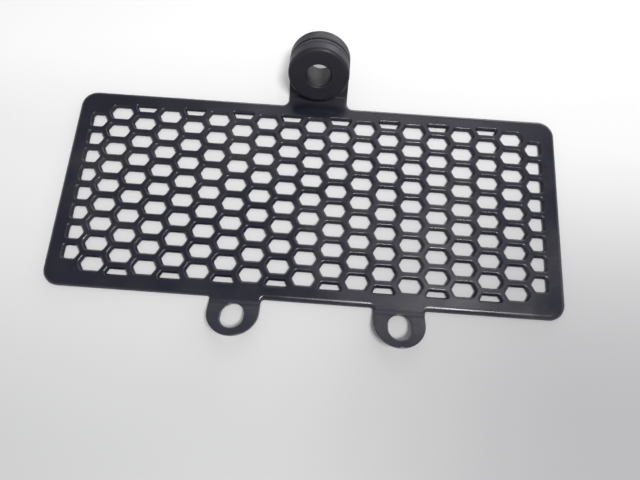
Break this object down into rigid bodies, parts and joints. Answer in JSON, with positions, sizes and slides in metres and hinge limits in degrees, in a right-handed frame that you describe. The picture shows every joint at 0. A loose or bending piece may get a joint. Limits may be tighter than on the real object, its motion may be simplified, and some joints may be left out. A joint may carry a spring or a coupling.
{
  "type": "motorcycle radiator guard",
  "caption": "Flat moulded honeycomb stone guard for a small motorcycle radiator, with slotted tabs bent up along one long edge and an upright ear with a rubber grommet on the other.",
  "frame": {"origin": "centre of the guard's overall outline in X and Y, on the outer face that it lies on", "axes": "+X along the long edges, +Y from the tabs' edge to the ear's edge, +Z from the outer face towards the side that the ear and the tabs stand up on, which faces the radiator"},
  "size_m": [0.1452, 0.088, 0.0204],
  "materials": {
    "moulding": "satin black moulded plastic",
    "rubber": "soft black rubber"
  },
  "bodies": {
    "root": {"guard": "moulding", "grommet": "rubber"}
  },
  "joints": []
}
